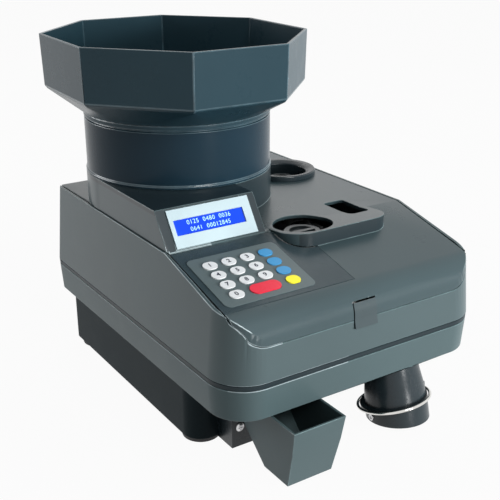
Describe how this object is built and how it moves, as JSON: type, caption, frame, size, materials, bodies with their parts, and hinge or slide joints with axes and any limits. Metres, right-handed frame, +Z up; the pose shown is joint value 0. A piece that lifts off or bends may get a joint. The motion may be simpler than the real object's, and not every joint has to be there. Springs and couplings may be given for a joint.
{
  "type": "coin sorting machine",
  "caption": "Desktop coin counter and sorter: octagonal hopper on a round neck, hinged top cover with display and keypad, adjustable coin track, coin tube with bag ring and reject cup.",
  "frame": {"origin": "centre of the bounding box at the height of the table", "axes": "+X to the right seen from the front, +Y to the back, +Z up"},
  "size_m": [0.2668, 0.3706, 0.3028],
  "materials": {
    "shell_plastic": "fine matt texture",
    "dark_plastic": "satin",
    "steel": "brushed",
    "wire": "polished",
    "brass": "turned",
    "rubber": "matt",
    "black_plastic": "semi-gloss",
    "board": "solder mask",
    "bezel_plastic": "printed, semi-gloss",
    "screen": "lit screen",
    "overlay": "printed film",
    "key_white": "silicone rubber",
    "key_blue": "silicone rubber",
    "red_plastic": "satin",
    "key_yellow": "silicone rubber"
  },
  "bodies": {
    "case": {"base_chassis": "shell_plastic", "rubber_feet": "rubber", "lower_cover": "shell_plastic", "seam_strip": "dark_plastic", "side_shell": "shell_plastic", "deck_plate": "steel", "deck_posts": "brass", "feed_pan": "dark_plastic", "fixed_rail": "steel", "shaft_bearing": "brass", "drive_motor": "steel", "drive_belt": "rubber", "coin_sensor": "dark_plastic", "main_board": "board", "power_inlet": "black_plastic", "switch_housing": "black_plastic", "reject_chute": "dark_plastic", "case_screws": "steel", "coin_tube": "dark_plastic", "tube_rivet": "steel", "hinge_pins": "steel"},
    "top_cover": {"top_cover": "shell_plastic", "control_panel": "dark_plastic", "display_bezel": "bezel_plastic", "lcd_panel": "screen", "keypad_overlay": "overlay", "keypad_board": "board", "hopper_neck": "shell_plastic", "hopper": "shell_plastic", "knob_bezel": "dark_plastic"},
    "front_latch": {"front_latch": "dark_plastic"},
    "feed_disc": {"feed_disc": "steel", "disc_pad": "rubber", "disc_cone": "steel", "feed_shaft": "steel", "disc_pulley": "dark_plastic"},
    "motor_pulley": {"motor_pulley": "brass"},
    "transport_wheel": {"transport_wheel": "rubber"},
    "diameter_knob": {"diameter_knob": "dark_plastic"},
    "sliding_rail": {"sliding_rail": "steel"},
    "thickness_knob": {"thickness_knob": "dark_plastic"},
    "reject_gate": {"reject_gate": "brass"},
    "switch_rocker": {"switch_rocker": "red_plastic"},
    "reject_cup": {"reject_cup": "shell_plastic"},
    "bag_ring": {"bag_ring": "wire"},
    "key_1": {"key_1": "key_white"},
    "key_2": {"key_2": "key_white"},
    "key_3": {"key_3": "key_white"},
    "key_blue_top": {"key_blue_top": "key_blue"},
    "key_4": {"key_4": "key_white"},
    "key_5": {"key_5": "key_white"},
    "key_6": {"key_6": "key_white"},
    "key_blue_middle": {"key_blue_middle": "key_blue"},
    "key_7": {"key_7": "key_white"},
    "key_8": {"key_8": "key_white"},
    "key_9": {"key_9": "key_white"},
    "key_blue_bottom": {"key_blue_bottom": "key_blue"},
    "key_0": {"key_0": "key_white"},
    "key_red": {"key_red": "red_plastic"},
    "key_yellow": {"key_yellow": "key_yellow"}
  },
  "joints": [
    {"name": "cover_hinge", "type": "hinge", "parent": "case", "child": "top_cover", "pos_m": [0.00844, 0.1583, 0.1526], "axis": [-1, 0, 0], "range_deg": [0, 60]},
    {"name": "latch_pivot", "type": "hinge", "parent": "top_cover", "child": "front_latch", "pos_m": [0.00685, -0.15383, 0.12228], "axis": [-1, 0, 0], "range_deg": [0, 30], "stiffness_Nm_per_rad": 0.03},
    {"name": "feed_disc_spin", "type": "hinge", "parent": "case", "child": "feed_disc", "pos_m": [-0.02655, 0.06867, 0.1058], "axis": [0, 0, 1], "continuous": true},
    {"name": "motor_spin", "type": "hinge", "parent": "case", "child": "motor_pulley", "pos_m": [0.07044, 0.06867, 0.0658], "axis": [0, 0, 1], "continuous": true},
    {"name": "transport_spin", "type": "hinge", "parent": "case", "child": "transport_wheel", "pos_m": [0.05844, -0.00533, 0.1214], "axis": [1, 0, 0], "continuous": true},
    {"name": "diameter_turn", "type": "hinge", "parent": "case", "child": "diameter_knob", "pos_m": [0.01545, -0.06333, 0.1518], "axis": [0, 0, 1], "range_deg": [-81, 81]},
    {"name": "rail_slide", "type": "slide", "parent": "case", "child": "sliding_rail", "axis": [1, 0, 0], "range_m": [-0.007, 0.007]},
    {"name": "thickness_turn", "type": "hinge", "parent": "case", "child": "thickness_knob", "pos_m": [0.08944, 0.07267, 0.1518], "axis": [0, 0, 1], "range_deg": [0, 270]},
    {"name": "gate_swing", "type": "hinge", "parent": "case", "child": "reject_gate", "pos_m": [0.03445, -0.11733, 0.1058], "axis": [0, 0, -1], "range_deg": [0, 20]},
    {"name": "switch_tilt", "type": "hinge", "parent": "case", "child": "switch_rocker", "pos_m": [-0.03955, 0.13867, 0.0308], "axis": [1, 0, 0], "range_deg": [-7, 7]},
    {"name": "cup_slide", "type": "slide", "parent": "case", "child": "reject_cup", "axis": [0, -1, 0], "range_m": [0, 0.06]},
    {"name": "ring_swing", "type": "hinge", "parent": "case", "child": "bag_ring", "pos_m": [0.08445, -0.14205, 0.02145], "axis": [0, 0.9677, -0.2521], "range_deg": [-1, 24]},
    {"name": "key_1_press", "type": "slide", "parent": "top_cover", "child": "key_1", "axis": [0, 0.2419, -0.9703], "range_m": [0, 0.0005], "stiffness_N_per_m": 800},
    {"name": "key_2_press", "type": "slide", "parent": "top_cover", "child": "key_2", "axis": [0, 0.2419, -0.9703], "range_m": [0, 0.0005], "stiffness_N_per_m": 800},
    {"name": "key_3_press", "type": "slide", "parent": "top_cover", "child": "key_3", "axis": [0, 0.2419, -0.9703], "range_m": [0, 0.0005], "stiffness_N_per_m": 800},
    {"name": "key_blue_top_press", "type": "slide", "parent": "top_cover", "child": "key_blue_top", "axis": [0, 0.2419, -0.9703], "range_m": [0, 0.0005], "stiffness_N_per_m": 800},
    {"name": "key_4_press", "type": "slide", "parent": "top_cover", "child": "key_4", "axis": [0, 0.2419, -0.9703], "range_m": [0, 0.0005], "stiffness_N_per_m": 800},
    {"name": "key_5_press", "type": "slide", "parent": "top_cover", "child": "key_5", "axis": [0, 0.2419, -0.9703], "range_m": [0, 0.0005], "stiffness_N_per_m": 800},
    {"name": "key_6_press", "type": "slide", "parent": "top_cover", "child": "key_6", "axis": [0, 0.2419, -0.9703], "range_m": [0, 0.0005], "stiffness_N_per_m": 800},
    {"name": "key_blue_middle_press", "type": "slide", "parent": "top_cover", "child": "key_blue_middle", "axis": [0, 0.2419, -0.9703], "range_m": [0, 0.0005], "stiffness_N_per_m": 800},
    {"name": "key_7_press", "type": "slide", "parent": "top_cover", "child": "key_7", "axis": [0, 0.2419, -0.9703], "range_m": [0, 0.0005], "stiffness_N_per_m": 800},
    {"name": "key_8_press", "type": "slide", "parent": "top_cover", "child": "key_8", "axis": [0, 0.2419, -0.9703], "range_m": [0, 0.0005], "stiffness_N_per_m": 800},
    {"name": "key_9_press", "type": "slide", "parent": "top_cover", "child": "key_9", "axis": [0, 0.2419, -0.9703], "range_m": [0, 0.0005], "stiffness_N_per_m": 800},
    {"name": "key_blue_bottom_press", "type": "slide", "parent": "top_cover", "child": "key_blue_bottom", "axis": [0, 0.2419, -0.9703], "range_m": [0, 0.0005], "stiffness_N_per_m": 800},
    {"name": "key_0_press", "type": "slide", "parent": "top_cover", "child": "key_0", "axis": [0, 0.2419, -0.9703], "range_m": [0, 0.0005], "stiffness_N_per_m": 800},
    {"name": "key_red_press", "type": "slide", "parent": "top_cover", "child": "key_red", "axis": [0, 0.2419, -0.9703], "range_m": [0, 0.0005], "stiffness_N_per_m": 800},
    {"name": "key_yellow_press", "type": "slide", "parent": "top_cover", "child": "key_yellow", "axis": [0, 0.2419, -0.9703], "range_m": [0, 0.0005], "stiffness_N_per_m": 800}
  ],
  "couplings": [
    {"joint": "motor_spin", "follows": "feed_disc_spin", "ratio": 3},
    {"joint": "diameter_turn", "follows": "rail_slide", "rad_per_m": -200}
  ]
}
